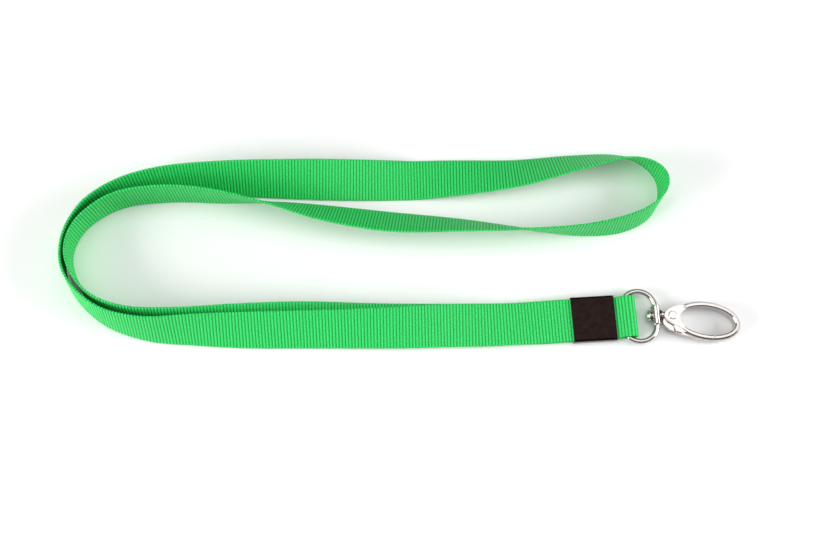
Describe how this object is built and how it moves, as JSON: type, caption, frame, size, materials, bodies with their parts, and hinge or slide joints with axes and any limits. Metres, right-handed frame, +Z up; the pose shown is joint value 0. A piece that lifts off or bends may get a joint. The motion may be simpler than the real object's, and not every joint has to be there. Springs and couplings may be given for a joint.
{
  "type": "lanyard badge holder",
  "caption": "Neck lanyard of ribbed flat webbing, crimped around a swivel D-ring that carries a sprung oval clasp for a badge.",
  "frame": {"origin": "on the table, below the middle of the whole object's box as it lies flat", "axes": "+X from the neck loop towards the clasp's tip, along the crimp and the swivel; +Z up from the table; +Y across, from the crimped run towards the neck loop's eye"},
  "size_m": [0.2348, 0.074, 0.015],
  "materials": {
    "webbing": "ribbed polyester",
    "dark_nickel": "polished",
    "nickel": "polished",
    "spring_steel": "drawn wire"
  },
  "bodies": {
    "strap": {"neck_strap": "webbing", "crimp_clamp": "dark_nickel"},
    "ring": {"d_ring": "nickel", "swivel_barrel": "nickel"},
    "hook": {"hook_body": "nickel", "swivel_pin": "nickel", "gate_rivet": "nickel", "gate_spring": "spring_steel"},
    "gate": {"gate_lever": "nickel"}
  },
  "joints": [
    {"name": "ring_swing", "type": "hinge", "parent": "strap", "child": "ring", "pos_m": [0.07898, -0.02643, 0.0027], "axis": [0, 1, 0], "range_deg": [-150, 140]},
    {"name": "swivel_spin", "type": "hinge", "parent": "ring", "child": "hook", "pos_m": [0.08898, -0.02643, 0.0027], "axis": [1, 0, 0], "continuous": true},
    {"name": "gate_open", "type": "hinge", "parent": "hook", "child": "gate", "pos_m": [0.09419, -0.02723, 0.0027], "axis": [0, 0, 1], "range_deg": [0, 35], "stiffness_Nm_per_rad": 0.0047, "springref_deg": -89.95}
  ]
}
